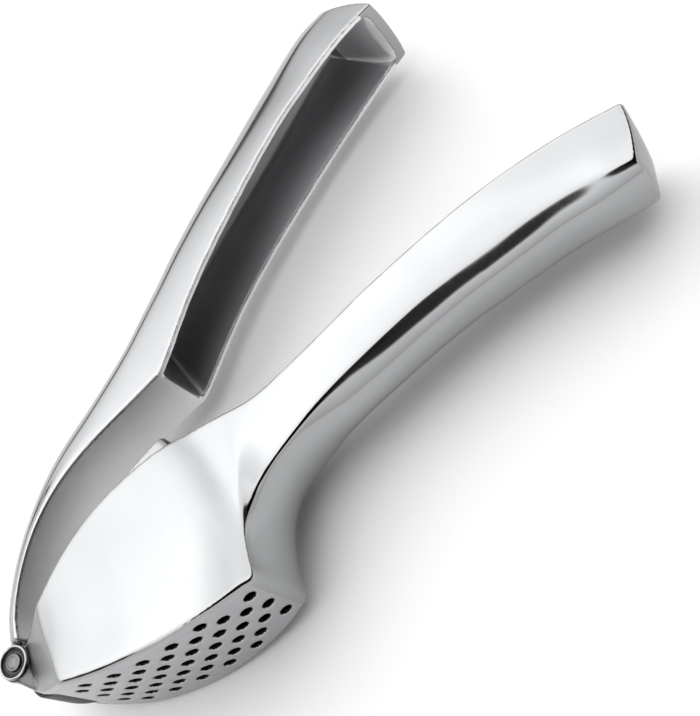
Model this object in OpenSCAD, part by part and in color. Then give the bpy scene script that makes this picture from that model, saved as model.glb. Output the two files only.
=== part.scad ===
// Garlic press: two cast arms and a press block that share one hinge pin.
// Millimetres. +Z is the hinge axis and points up: the press lies on the flat
// cheek of its hopper. The shapes below are drawn in a plane whose origin is the
// hinge axis (x towards the handles, y towards the lever), and "w" is the
// distance from the middle plane along Z.

/* [Hopper] */
// Largest half width of the hopper cheeks
hopper_half_w = 16.8; // [16.4:0.1:17.6]
// Thickness of the hopper side walls
wall = 2.4; // [2:0.1:2.8]
// Thickness of the perforated floor
floor_t = 2.0; // [1.6:0.1:2.4]
// Radius of the curved outside face of the floor
floor_r = 80.8; // [80:0.1:82]
// Inside radius of the rear wall, measured from the hinge axis
chamber_r = 58.8; // [58:0.1:59]

/* [Holes] */
// Radius of one pressing hole
hole_r = 1.3; // [0.9:0.05:1.5]
// Distance between neighbouring holes of one row
hole_pitch = 7.2; // [7:0.1:7.3]
// Angle between one row of holes and the next, seen from the floor's centre
row_step = 2.564; // [2.5:0.001:2.6]

/* [Hinge] */
// Radius of the hinge pin
pin_r = 1.6; // [1.4:0.05:1.8]
// Radial running clearance of everything that turns on the pin
pin_gap = 0.05; // [0.02:0.01:0.09]
// Radius of the lugs and knuckles round the pin
lug_r = 4.2; // [4:0.1:4.4]
// Outer half width across the two lugs
lug_half_w = 7.6; // [7.4:0.1:7.8]
// Half width of the space between the lugs
gap_half_w = 4.6; // [4.4:0.1:4.8]
// Radius of the ferrule under each pin head
ferrule_r = 3.8; // [3.5:0.1:4]

/* [Lever] */
// Half width of the lever next to the hinge
lever_half_w = 9.2; // [8.8:0.1:9.6]
// Thickness of the rims of both handle channels
rim_t = 1.6; // [1.2:0.1:2]

/* [Press block] */
// Side clearance between the block and the hopper walls
block_gap = 0.5; // [0.4:0.05:0.8]
// Clearance between the end of the block and the rear wall
block_end_gap = 1.0; // [0.8:0.1:1.4]
// Angle of the block's top face above the x axis
block_top = 51.2; // [50.6:0.1:51.6]
// Angle that the block stands above its lowest position
block_lift = 3.3; // [3.3:0.1:3.8]
// Wall thickness of the cored block
block_wall = 2.4; // [2:0.1:3]

/* [Hidden] */
$fn = 48;
// hinge axis in the part's frame
HX = -68.84;
HY = -70.28;
HZ = hopper_half_w;
// centre of the floor's curve, from the hinge axis
FC = [9.7, 73.3];
// angle of the rearmost row of holes round that centre
ROW0 = -53.05;

// half width of the hopper's cheeks against the distance from the hinge axis
function w_cheek(r) = lookup(r, [
    [0, hopper_half_w - 2.2], [12, hopper_half_w - 1.9], [14, hopper_half_w - 1.5], [16, hopper_half_w - 1.0],
    [18, hopper_half_w - 0.5], [20, hopper_half_w - 0.25], [25, hopper_half_w], [34, hopper_half_w],
    [40, hopper_half_w - 0.4], [45, hopper_half_w - 1.0], [50, hopper_half_w - 1.8],
    [54, hopper_half_w - 2.6], [58, hopper_half_w - 3.8], [60, hopper_half_w - 4.7],
    [62, 11.2], [64, 10.8], [70, 10.3], [400, 10.3]]);
// half width at a point: the two front facets run in from the cheeks to the lugs
function w_out(P) = max(7.4, min(w_cheek(norm(P)), 4.62 + 0.71 * P[0] + 0.315 * P[1]));
// inside half width of the chamber against the distance from the hinge axis
function w_in(r) = r < 20
    ? lookup(r, [[0, 4.0], [5, 4.4], [7, 5.1], [10, 6.6], [13, 8.5], [16, 10.5], [20, hopper_half_w - wall - 0.8]])
    : min(w_cheek(r) - wall, lookup(r, [[20, hopper_half_w - wall - 0.8], [23, hopper_half_w - wall - 0.1], [26, 20]]));

// Body stations from the hinge to the end of the handle:
// [underside x, y, lower edge x, y, rim x, y, half width at lower edge, at rim, hopper]
// hopper = 1 takes the half widths from w_out().
BODY = [
    [0.6, -4.3,   0.6, -4.3,   1.8, 3.8,   0, 0, 1],
    [3.6, -5.5,   3.6, -5.5,   4.4, 5.1,   0, 0, 1],
    [7.0, -6.9,   7.0, -6.9,   7.4, 7.4,   0, 0, 1],
    [8.4, -7.3,   8.4, -7.3,   9.1, 8.8,   0, 0, 1],
    [9.7, -7.5,   9.7, -7.5,   10.8, 9.9,   0, 0, 1],
    [11.4, -7.48,   11.4, -7.48,   11.9, 11.0,   0, 0, 1],
    [13.0, -7.43,   13.0, -7.43,   12.9, 12.3,   0, 0, 1],
    [15.0, -7.33,   15.0, -7.33,   13.8, 14.0,   0, 0, 1],
    [17.0, -7.2,   17.0, -7.2,   14.8, 15.8,   0, 0, 1],
    [19.0, -6.98,   19.0, -6.98,   16.0, 17.9,   0, 0, 1],
    [21.0, -6.7,   21.0, -6.7,   17.3, 19.9,   0, 0, 1],
    [25.0, -6.0,   25.0, -6.0,   19.9, 23.6,   0, 0, 1],
    [29.0, -5.2,   29.0, -5.2,   22.8, 26.8,   0, 0, 1],
    [33.0, -4.0,   33.0, -4.0,   26.3, 30.7,   0, 0, 1],
    [37.0, -2.7,   37.0, -2.7,   30.5, 34.5,   0, 0, 1],
    [41.0, -1.2,   41.0, -1.2,   35.2, 38.6,   0, 0, 1],
    [45.0, 0.6,   45.0, 0.6,   39.8, 41.9,   0, 0, 1],
    [49.0, 2.7,   49.0, 2.7,   43.2, 44.1,   0, 0, 1],
    [53.0, 5.1,   53.0, 5.1,   46.0, 45.5,   0, 0, 1],
    [57.0, 7.8,   57.0, 7.8,   48.4, 46.5,   0, 0, 1],
    [60.0, 10.0,   60.0, 10.0,   50.0, 47.1,   0, 0, 1],
    [61.4, 11.1,   61.2, 11.1,   51.0, 47.5,   10.9, 10.3, 0],
    [61.9, 12.4,   61.2, 12.4,   51.8, 47.7,   10.8, 10.3, 0],
    [62.0, 15.0,   60.2, 15.0,   52.7, 48.0,   10.5, 10.3, 0],
    [62.0, 19.0,   59.0, 19.0,   53.6, 48.2,   10.1, 10.3, 0],
    [61.7, 23.5,   58.3, 23.7,   54.5, 48.5,   9.7, 10.3, 0],
    [61.5, 27.0,   58.8, 27.6,   55.6, 48.8,   9.3, 10.3, 0],
    [62.3, 30.2,   59.8, 30.9,   56.9, 49.2,   9.0, 10.3, 0],
    [64.1, 33.4,   61.8, 34.3,   58.5, 49.9,   8.8, 10.4, 0],
    [66.8, 36.7,   64.8, 37.6,   60.6, 51.1,   8.7, 10.4, 0],
    [70.3, 39.9,   68.2, 41.2,   63.3, 52.8,   8.6, 10.4, 0],
    [74.4, 43.4,   71.9, 45.4,   67.0, 55.6,   8.6, 10.5, 0],
    [79.3, 46.5,   76.4, 49.5,   70.8, 58.3,   8.6, 10.6, 0],
    [83.8, 49.8,   81.0, 53.2,   75.2, 61.5,   8.6, 10.8, 0],
    [88.4, 53.0,   85.6, 56.8,   79.8, 65.0,   8.6, 10.9, 0],
    [93.0, 56.3,   90.1, 60.2,   84.6, 68.6,   8.6, 11.1, 0],
    [97.4, 59.3,   94.6, 63.4,   89.4, 71.7,   8.7, 11.3, 0],
    [101.8, 62.1,   99.1, 66.4,   94.0, 74.7,   8.7, 11.5, 0],
    [106.2, 64.7,   103.5, 69.0,   99.0, 77.8,   8.8, 11.7, 0],
    [110.5, 67.0,   107.9, 71.4,   103.6, 80.5,   8.8, 11.9, 0],
    [114.8, 69.2,   112.3, 73.7,   108.4, 83.2,   8.9, 12.1, 0],
    [119.0, 71.4,   116.6, 75.8,   113.2, 85.7,   9.0, 12.2, 0],
    [123.1, 73.5,   120.9, 77.9,   118.0, 88.1,   9.1, 12.2, 0],
    [127.1, 75.5,   125.1, 79.7,   122.8, 90.3,   9.2, 12.1, 0],
    [131.3, 77.0,   129.3, 81.3,   127.4, 92.2,   9.2, 12.0, 0],
    [135.3, 78.6,   133.4, 82.8,   132.2, 94.0,   9.2, 11.9, 0],
    [139.2, 80.1,   137.7, 83.4,   137.0, 95.5,   9.1, 11.7, 0],
    [144.2, 82.6,   142.7, 85.2,   141.5, 97.0,   8.6, 11.4, 0]];

// Lever stations from the hinge to the tip:
// [back x, y, back edge x, y, inner face or rim x, y, half width at back edge, at rim]
LEVER = [
    [-4.4, 4.4,   -2.6, 4.4,   0.9, 4.4,   7.6, 8.4],
    [-6.0, 7.0,   -2.7, 7.0,   0.0, 7.0,   8.0, 8.8],
    [-6.9, 10.0,   -2.7, 10.0,   -0.4, 10.0,   8.5, 9.2],
    [-7.3, 14.5,   -2.3, 14.5,   -0.4, 14.5,   8.5, 9.2],
    [-7.3, 19.2,   -1.9, 19.0,   0.0, 18.8,   8.5, 9.2],
    [-6.5, 25.2,   -1.1, 24.0,   0.9, 23.4,   8.5, 9.2],
    [-5.0, 31.2,   0.2, 29.4,   2.4, 28.3,   8.5, 9.2],
    [-3.1, 36.8,   1.9, 34.2,   4.5, 32.7,   8.5, 9.2],
    [-0.7, 42.4,   4.1, 39.5,   7.4, 37.4,   8.5, 9.2],
    [2.0, 47.4,   6.7, 44.0,   10.6, 41.3,   8.5, 9.2],
    [5.0, 51.7,   9.5, 48.0,   13.8, 44.6,   8.5, 9.2],
    [8.6, 56.4,   13.2, 52.4,   18.0, 48.2,   8.5, 9.3],
    [12.8, 61.6,   17.0, 58.0,   23.0, 52.0,   8.5, 9.4],
    [16.5, 67.0,   21.0, 63.5,   28.4, 56.0,   8.5, 9.5],
    [19.1, 71.3,   24.1, 68.3,   33.6, 59.9,   8.5, 9.6],
    [21.2, 75.0,   26.4, 72.1,   34.9, 61.2,   8.6, 9.7],
    [23.7, 79.6,   29.0, 76.7,   36.8, 66.0,   8.6, 9.9],
    [27.0, 85.1,   32.1, 82.1,   39.9, 73.9,   8.7, 10.3],
    [30.3, 91.5,   35.6, 88.4,   43.6, 82.0,   8.8, 10.6],
    [34.6, 98.7,   39.7, 95.4,   48.0, 90.1,   8.9, 10.9],
    [39.8, 106.8,   44.8, 103.3,   53.2, 98.8,   9.0, 11.3],
    [45.6, 115.6,   50.5, 111.8,   58.9, 107.6,   9.1, 11.8],
    [51.4, 124.9,   56.4, 120.6,   65.0, 116.4,   9.2, 12.1],
    [57.2, 133.6,   62.2, 129.0,   71.4, 124.6,   9.1, 11.9],
    [62.4, 141.2,   67.0, 136.9,   78.0, 132.6,   9.0, 11.6],
    [66.0, 145.4,   70.8, 142.2,   83.2, 138.2,   8.8, 10.9],
    [69.4, 147.2,   73.8, 145.6,   87.2, 141.8,   8.4, 10.2]];

function mix(a, b, t) = a + (b - a) * t;

// How square the back of an arm is: 2 is a plain crown, larger is fuller at its edges.
// Lever stations have eight numbers, body stations nine.
function crown(s) = let (r = norm([s[2], s[3]]))
    len(s) < 9 ? 2 + 1.2 * min(1, max(0, (r - 75) / 35))
               : 2 + (s[8] == 1 ? 0 : min(1, max(0, (r - 95) / 35)));

// One closed ring of points round an arm: crowned back or underside, edge, side, rim.
// s is a station, near = 1 or -1 picks the cheek.
function half_ring(s, k, m) =
    let (B = [s[0], s[1]], C = [s[2], s[3]], T = [s[4], s[5]],
         hop = len(s) > 8 ? s[8] : 0,
         up = (T - C) / norm(T - C),
         e = min(0.7, norm(T - C) * 0.3),
         q = crown(s),
         C2 = C + up * e,
         wc = hop == 1 ? w_out(C) : s[6],
         wt = hop == 1 ? w_out(T) : s[7])
    concat(
        [for (i = [0 : k]) let (f = i / k, P = mix(C, B, 1 - pow(f, q))) [P[0], P[1], (wc - 0.7) * f]],
        [for (j = [0 : m]) let (g = j / m, P = mix(C2, T, g))
            [P[0], P[1], hop == 1 ? w_out(P) : mix(wc, wt, g) + 0.25 * sin(180 * g)]]);
function ring(s, k, m) =
    let (h = half_ring(s, k, m), n = len(h))
    concat([for (i = [n - 1 : -1 : 0]) [h[i][0], h[i][1], -h[i][2]]],
           [for (i = [1 : n - 1]) h[i]]);

// An arm's last ring, swelled along the arm so that its edges bow outwards.
function swell(ring, s, before, tall, wide) =
    let (C = [s[2], s[3]], T = [s[4], s[5]], up = (T - C) / norm(T - C),
         a = mix([s[2], s[3]], T, 0.5) - mix([before[2], before[3]], [before[4], before[5]], 0.5), ax = a / norm(a))
    [for (p = ring)
        let (u = max(-1, min(1, 2 * (([p[0], p[1]] - C) * up) / norm(T - C) - 1)), v = max(-1, min(1, p[2] / s[7])),
             h = 0.5 + tall * (1 - u * u) + wide * (1 - v * v))
        [p[0] + ax[0] * h, p[1] + ax[1] * h, p[2]]];
// All rings of an arm, the last one swelled.
function arm_rings(table, k, m, tall, wide) =
    let (n = len(table))
    [for (i = [0 : n - 1]) i < n - 1 ? ring(table[i], k, m)
                                     : swell(ring(table[i], k, m), table[i], table[i - 1], tall, wide)];

function middle(ring) = [for (c = [0 : 2]) (max([for (p = ring) p[c]]) + min([for (p = ring) p[c]])) / 2];

// Solid through a list of rings of equal length, with a fan of triangles over each end.
// flip turns the faces round for an arm whose rims lie to the other side.
// dome is how far the middle of the last end stands out.
module skin(rings, flip = false, dome = 0) {
    n = len(rings[0]);
    m = len(rings);
    e1 = middle(rings[m - 1]);
    ahead = e1 - middle(rings[m - 2]);
    pts = concat([for (r = rings) for (p = r) p], [middle(rings[0]), e1 + ahead * dome / norm(ahead)]);
    sides = [for (i = [0 : m - 2]) for (j = [0 : n - 1])
        let (a = i * n + j, b = i * n + (j + 1) % n, c = a + n, d = b + n)
        each [[a, b, d], [a, d, c]]];
    caps = [for (j = [0 : n - 1]) let (k = (j + 1) % n, e = (m - 1) * n)
        each [[k, j, m * n], [e + j, e + k, m * n + 1]]];
    all = concat(sides, caps);
    polyhedron(points = pts, faces = flip ? [for (f = all) [f[0], f[2], f[1]]] : all, convexity = 8);
}

// Channel inside an arm: open past the rim, with a round-cornered floor.
// depth is where its floor lies: 0 at the lower edge, 1 at the crown.
function channel_ring(s, t, depth, shrink) =
    let (B = [s[0], s[1]], C = [s[2], s[3]], T = [s[4], s[5]],
         up = (T - C) / norm(T - C),
         F = mix(C, B, depth), F2 = mix(F, T, 0.18),
         wf = (s[6] - t - 0.8) * shrink, wt = (s[7] - t) * shrink, T2 = T + up * 4,
         wtt = wt + (wt - wf) * 4 / norm(T - F))
    [[T2[0], T2[1], -wtt], [T[0], T[1], -wt], [F2[0], F2[1], -wf], [F[0], F[1], -wf * 0.78],
     [F[0], F[1], wf * 0.78], [F2[0], F2[1], wf], [T[0], T[1], wt], [T2[0], T2[1], wtt]];

// everything is drawn about the hinge axis and then put into the part's frame
module placed() { translate([HX, HY, HZ]) children(); }

module disc(r, w0, w1) { translate([0, 0, w0]) cylinder(r = r, h = w1 - w0); }

// plane region above the chamber floor, raised by g; a polygon with a computed arc
module above_floor(g) {
    a0 = -85;
    a1 = -48;
    rr = floor_r - floor_t - g;
    polygon(concat(
        [[-8, -0.3 + g], [0, -2.6 + g]],
        [for (i = [0 : 36]) let (a = a0 + (a1 - a0) * i / 36) FC + rr * [cos(a), sin(a)]],
        [[90, 40], [90, 120], [-8, 120]]));
}

// sector about the hinge axis whose half width follows w_in(), less a gap
module sector(r0, r1, gap, a0, a1) {
    rs = concat([r0], [for (r = [7, 10, 13, 16, 20, 23, 25, 34, 40, 45, 50, 54]) if (r > r0 && r < r1) r], [r1]);
    n = len(rs);
    rotate([0, 0, a0])
        rotate_extrude(angle = a1 - a0, $fn = 180)
            polygon(concat([for (i = [0 : n - 1]) [rs[i], w_in(rs[i]) - gap]],
                           [for (i = [n - 1 : -1 : 0]) [rs[i], -w_in(rs[i]) + gap]]));
}

module press_holes() {
    for (k = [0 : 12]) {
        a = ROW0 - k * row_step;
        zs = k == 1 ? [-0.5, 0.5] : (k % 2 == 0 ? [-1, 0, 1] : [-1.5, -0.5, 0.5, 1.5]);
        for (z = zs)
            translate([FC[0] + (floor_r - 5) * cos(a), FC[1] + (floor_r - 5) * sin(a), z * hole_pitch])
                rotate([0, 90, a]) cylinder(r = hole_r, h = 8, $fn = 24);
    }
}

module hopper_body() {
    color("gainsboro") placed() difference() {
        difference() {
            difference() {
                difference() {
                    union() {
                        skin(arm_rings(BODY, 4, 9, 0.6, 0.3), dome = 0.7);
                        disc(lug_r, gap_half_w, lug_half_w);
                        disc(lug_r, -lug_half_w, -gap_half_w);
                    }
                    // channel of the handle
                    skin([for (i = [30 : 46]) channel_ring(BODY[i], rim_t + 0.4, i == 30 ? -0.6 : (i == 31 ? 0.1 : (i == 46 ? 0 : 0.45)), 1)]);
                }
                // chamber
                intersection() {
                    sector(lug_r + 0.6, chamber_r, 0, -60, 88);
                    translate([0, 0, -30]) linear_extrude(60) above_floor(0);
                }
            }
            // space for the knuckles, and a flat seat for each ferrule
            disc(lug_r + 0.8, -gap_half_w, gap_half_w);
            disc(ferrule_r + 0.25, lug_half_w, 20);
            disc(ferrule_r + 0.25, -20, -lug_half_w);
        }
        // pin bores
        disc(pin_r + pin_gap, -20, 20);
        press_holes();
    }
}

module lever() {
    color("silver") placed() difference() {
        union() {
            difference() {
                difference() {
                    skin(arm_rings(LEVER, 4, 4, 0.8, 0.7), true, 0.8);
                    // channel
                    skin([for (i = [15 : 25]) channel_ring(LEVER[i], rim_t, i == 15 ? -0.5 : (i == 25 ? 0 : 0.55), 1)], true);
                }
                // cove over the lugs
                disc(lug_r + 0.7, -20, 20);
            }
            // two knuckle plates between the lugs
            for (m = [-1, 1]) translate([0, 0, m * 3.25 - 1.05]) {
                cylinder(r = lug_r, h = 2.1);
                linear_extrude(2.1) polygon([[-4.2, 0], [1.5, 0], [0.9, 5.2], [-0.2, 8.5], [-5.4, 8.5]]);
            }
        }
        // room for the block's knuckle
        disc(lug_r + 0.5, -2.2, 2.2);
        disc(pin_r + pin_gap, -20, 20);
    }
}

module press_block() {
    color("darkgray") placed() difference() {
        union() {
            disc(lug_r, -1.9, 1.9);
            intersection() {
                rotate([0, 0, block_lift]) translate([0, 0, -30]) linear_extrude(60) above_floor(0.5);
                sector(lug_r + 1.0, chamber_r - block_end_gap, block_gap, -58 + block_lift, block_top);
            }
            // web from the knuckle into the block
            linear_extrude(3.8, center = true) polygon([[0, -2], [8, -3], [8, 8], [2.5, 3.3]]);
        }
        // core, open at the top face, with one rib left across it
        for (c = [[13, 33.5], [36, chamber_r - block_end_gap - block_wall]])
            intersection() {
                sector(c[0], c[1], block_gap + block_wall, -40, block_top + 1);
                rotate([0, 0, block_lift]) translate([0, 0, -30]) linear_extrude(60) above_floor(0.5 + block_wall + 0.6);
            }
        disc(pin_r + pin_gap, -20, 20);
    }
}

module hinge_pin() {
    color("lightgray") placed() {
        disc(pin_r, -lug_half_w - 0.5, lug_half_w + 0.5);
        for (m = [0, 1]) mirror([0, 0, m]) translate([0, 0, lug_half_w + 0.5])
            rotate_extrude() polygon([[0, 0], [1.85, 0], [1.85, 0.25], [1.6, 0.5], [1.1, 0.66], [0.5, 0.74], [0, 0.76]]);
    }
}

module pin_ferrules() {
    color("silver") placed()
        for (m = [0, 1]) mirror([0, 0, m]) translate([0, 0, lug_half_w])
            rotate_extrude() difference() {
                union() {
                    translate([pin_r + pin_gap, 0]) square([ferrule_r - pin_r - pin_gap, 0.5]);
                    translate([3.0, 0]) square([ferrule_r - 3.0, 0.7]);
                    translate([(3.0 + ferrule_r) / 2, 0.7]) circle(r = (ferrule_r - 3.0) / 2, $fn = 24);
                }
            }
}

hopper_body();
lever();
press_block();
hinge_pin();
pin_ferrules();
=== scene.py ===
import math

import bpy
import numpy as np
from mathutils import Matrix, Vector


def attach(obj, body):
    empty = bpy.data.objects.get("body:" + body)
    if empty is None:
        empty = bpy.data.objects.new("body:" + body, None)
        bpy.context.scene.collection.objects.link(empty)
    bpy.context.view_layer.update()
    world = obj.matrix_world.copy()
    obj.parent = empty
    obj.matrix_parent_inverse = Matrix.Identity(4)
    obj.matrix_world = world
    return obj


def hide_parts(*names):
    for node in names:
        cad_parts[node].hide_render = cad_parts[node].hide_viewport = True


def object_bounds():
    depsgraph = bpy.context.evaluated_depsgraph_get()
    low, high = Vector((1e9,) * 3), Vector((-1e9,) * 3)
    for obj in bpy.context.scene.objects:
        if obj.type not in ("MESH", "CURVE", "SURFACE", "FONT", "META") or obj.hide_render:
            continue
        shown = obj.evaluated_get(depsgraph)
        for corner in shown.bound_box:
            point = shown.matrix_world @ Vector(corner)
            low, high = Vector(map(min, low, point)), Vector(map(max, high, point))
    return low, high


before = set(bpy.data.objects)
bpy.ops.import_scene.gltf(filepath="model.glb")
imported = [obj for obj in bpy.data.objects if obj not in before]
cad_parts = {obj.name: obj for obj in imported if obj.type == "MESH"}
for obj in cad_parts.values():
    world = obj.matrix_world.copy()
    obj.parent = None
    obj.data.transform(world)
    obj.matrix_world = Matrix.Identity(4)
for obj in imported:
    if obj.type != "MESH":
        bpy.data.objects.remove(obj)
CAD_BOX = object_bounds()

# ---------------------------------------------------------------- shared numbers, in mm
# Everything is drawn about the hinge axis, as in the CAD, and moved to the row frame at the end.
HINGE = np.array([-68.84, -70.28, 16.8])
PIN_R, PIN_GAP, LUG_R, LUG_W, GAP_W, FERRULE_R = 1.6, 0.05, 4.2, 7.6, 4.6, 3.8
HALF_W, WALL, FLOOR_T, FLOOR_R, CHAMBER_R = 16.8, 2.4, 2.0, 80.8, 58.8
FC = np.array([9.7, 73.3])
HOLE_R, PITCH, ROW0, ROW_STEP = 1.3, 7.2, -53.05, 2.564
BLOCK_GAP, BLOCK_END, BLOCK_TOP, BLOCK_LIFT, BLOCK_WALL = 0.5, 1.0, 51.2, 3.3, 2.4

CHEEK = [(0, 14.6), (12, 14.9), (14, 15.3), (16, 15.8), (18, 16.3), (20, 16.55), (25, 16.8), (34, 16.8), (40, 16.4), (45, 15.8),
         (50, 15.0), (54, 14.2), (58, 13.0), (60, 12.1), (62, 11.2), (64, 10.8), (70, 10.3), (400, 10.3)]
INNER = [(0, 4.0), (5, 4.4), (7, 5.1), (10, 6.6), (13, 8.5), (16, 10.5), (20, 13.6), (23, 14.3), (26, 14.4), (34, 14.4), (40, 14.0),
         (45, 13.4), (50, 12.6), (54, 11.8), (58, 10.6), (60, 9.7), (400, 9.7)]

BODY = [
    [0.6, -4.3, 0.6, -4.3, 1.8, 3.8, 0, 0, 1], [3.6, -5.5, 3.6, -5.5, 4.4, 5.1, 0, 0, 1],
    [7.0, -6.9, 7.0, -6.9, 7.4, 7.4, 0, 0, 1], [9.7, -7.5, 9.7, -7.5, 10.8, 9.9, 0, 0, 1],
    [13.0, -7.43, 13.0, -7.43, 12.9, 12.3, 0, 0, 1], [17.0, -7.2, 17.0, -7.2, 14.8, 15.8, 0, 0, 1],
    [21.0, -6.7, 21.0, -6.7, 17.3, 19.9, 0, 0, 1], [25.0, -6.0, 25.0, -6.0, 19.9, 23.6, 0, 0, 1],
    [29.0, -5.2, 29.0, -5.2, 22.8, 26.8, 0, 0, 1], [33.0, -4.0, 33.0, -4.0, 26.3, 30.7, 0, 0, 1],
    [37.0, -2.7, 37.0, -2.7, 30.5, 34.5, 0, 0, 1], [41.0, -1.2, 41.0, -1.2, 35.2, 38.6, 0, 0, 1],
    [45.0, 0.6, 45.0, 0.6, 39.8, 41.9, 0, 0, 1], [49.0, 2.7, 49.0, 2.7, 43.2, 44.1, 0, 0, 1],
    [53.0, 5.1, 53.0, 5.1, 46.0, 45.5, 0, 0, 1], [57.0, 7.8, 57.0, 7.8, 48.4, 46.5, 0, 0, 1],
    [60.0, 10.0, 60.0, 10.0, 50.0, 47.1, 0, 0, 1], [61.4, 11.1, 61.2, 11.1, 51.0, 47.5, 10.9, 10.3, 0],
    [61.9, 12.4, 61.2, 12.4, 51.8, 47.7, 10.8, 10.3, 0], [62.0, 15.0, 60.2, 15.0, 52.7, 48.0, 10.5, 10.3, 0],
    [62.0, 19.0, 59.0, 19.0, 53.6, 48.2, 10.1, 10.3, 0], [61.7, 23.5, 58.3, 23.7, 54.5, 48.5, 9.7, 10.3, 0],
    [61.5, 27.0, 58.8, 27.6, 55.6, 48.8, 9.3, 10.3, 0], [62.3, 30.2, 59.8, 30.9, 56.9, 49.2, 9.0, 10.3, 0],
    [64.1, 33.4, 61.8, 34.3, 58.5, 49.9, 8.8, 10.4, 0], [66.8, 36.7, 64.8, 37.6, 60.6, 51.1, 8.7, 10.4, 0],
    [70.3, 39.9, 68.2, 41.2, 63.3, 52.8, 8.6, 10.4, 0], [74.4, 43.4, 71.9, 45.4, 67.0, 55.6, 8.6, 10.5, 0],
    [79.3, 46.5, 76.4, 49.5, 70.8, 58.3, 8.6, 10.6, 0], [83.8, 49.8, 81.0, 53.2, 75.2, 61.5, 8.6, 10.8, 0],
    [88.4, 53.0, 85.6, 56.8, 79.8, 65.0, 8.6, 10.9, 0], [93.0, 56.3, 90.1, 60.2, 84.6, 68.6, 8.6, 11.1, 0],
    [97.4, 59.3, 94.6, 63.4, 89.4, 71.7, 8.7, 11.3, 0], [101.8, 62.1, 99.1, 66.4, 94.0, 74.7, 8.7, 11.5, 0],
    [106.2, 64.7, 103.5, 69.0, 99.0, 77.8, 8.8, 11.7, 0], [110.5, 67.0, 107.9, 71.4, 103.6, 80.5, 8.8, 11.9, 0],
    [114.8, 69.2, 112.3, 73.7, 108.4, 83.2, 8.9, 12.1, 0], [119.0, 71.4, 116.6, 75.8, 113.2, 85.7, 9.0, 12.2, 0],
    [123.1, 73.5, 120.9, 77.9, 118.0, 88.1, 9.1, 12.2, 0], [127.1, 75.5, 125.1, 79.7, 122.8, 90.3, 9.2, 12.1, 0],
    [131.3, 77.0, 129.3, 81.3, 127.4, 92.2, 9.2, 12.0, 0], [135.3, 78.6, 133.4, 82.8, 132.2, 94.0, 9.2, 11.9, 0],
    [139.2, 80.1, 137.7, 83.4, 137.0, 95.5, 9.1, 11.7, 0], [144.2, 82.6, 142.7, 85.2, 141.5, 97.0, 8.6, 11.4, 0]]

LEVER = [
    [-4.4, 4.4, -2.6, 4.4, 0.9, 4.4, 7.6, 8.4], [-6.0, 7.0, -2.7, 7.0, 0.0, 7.0, 8.0, 8.8],
    [-6.9, 10.0, -2.7, 10.0, -0.4, 10.0, 8.5, 9.2], [-7.3, 14.5, -2.3, 14.5, -0.4, 14.5, 8.5, 9.2],
    [-7.3, 19.2, -1.9, 19.0, 0.0, 18.8, 8.5, 9.2], [-6.5, 25.2, -1.1, 24.0, 0.9, 23.4, 8.5, 9.2],
    [-5.0, 31.2, 0.2, 29.4, 2.4, 28.3, 8.5, 9.2], [-3.1, 36.8, 1.9, 34.2, 4.5, 32.7, 8.5, 9.2],
    [-0.7, 42.4, 4.1, 39.5, 7.4, 37.4, 8.5, 9.2], [2.0, 47.4, 6.7, 44.0, 10.6, 41.3, 8.5, 9.2],
    [5.0, 51.7, 9.5, 48.0, 13.8, 44.6, 8.5, 9.2], [8.6, 56.4, 13.2, 52.4, 18.0, 48.2, 8.5, 9.3],
    [12.8, 61.6, 17.0, 58.0, 23.0, 52.0, 8.5, 9.4], [16.5, 67.0, 21.0, 63.5, 28.4, 56.0, 8.5, 9.5],
    [19.1, 71.3, 24.1, 68.3, 33.6, 59.9, 8.5, 9.6], [21.2, 75.0, 26.4, 72.1, 34.9, 61.2, 8.6, 9.7],
    [23.7, 79.6, 29.0, 76.7, 36.8, 66.0, 8.6, 9.9], [27.0, 85.1, 32.1, 82.1, 39.9, 73.9, 8.7, 10.3],
    [30.3, 91.5, 35.6, 88.4, 43.6, 82.0, 8.8, 10.6], [34.6, 98.7, 39.7, 95.4, 48.0, 90.1, 8.9, 10.9],
    [39.8, 106.8, 44.8, 103.3, 53.2, 98.8, 9.0, 11.3], [45.6, 115.6, 50.5, 111.8, 58.9, 107.6, 9.1, 11.8],
    [51.4, 124.9, 56.4, 120.6, 65.0, 116.4, 9.2, 12.1], [57.2, 133.6, 62.2, 129.0, 71.4, 124.6, 9.1, 11.9],
    [62.4, 141.2, 67.0, 136.9, 78.0, 132.6, 9.0, 11.6], [66.0, 145.4, 70.8, 142.2, 83.2, 138.2, 8.8, 10.9],
    [69.4, 147.2, 73.8, 145.6, 87.2, 141.8, 8.4, 10.2]]


# ---------------------------------------------------------------- curves
def pchip(xk, yk, x):
    """Shape-preserving cubic through (xk, yk)."""
    xk, yk, x = np.asarray(xk, float), np.asarray(yk, float), np.asarray(x, float)
    h = np.diff(xk)
    d = np.diff(yk) / h
    m = np.zeros(len(xk))
    m[0], m[-1] = d[0], d[-1]
    for i in range(1, len(xk) - 1):
        if d[i - 1] * d[i] > 0:
            w1, w2 = 2 * h[i] + h[i - 1], h[i] + 2 * h[i - 1]
            m[i] = (w1 + w2) / (w1 / d[i - 1] + w2 / d[i])
    i = np.clip(np.searchsorted(xk, x) - 1, 0, len(h) - 1)
    t = (x - xk[i]) / h[i]
    return ((2 * t ** 3 - 3 * t ** 2 + 1) * yk[i] + (t ** 3 - 2 * t ** 2 + t) * h[i] * m[i]
            + (-2 * t ** 3 + 3 * t ** 2) * yk[i + 1] + (t ** 3 - t ** 2) * h[i] * m[i + 1])


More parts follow.
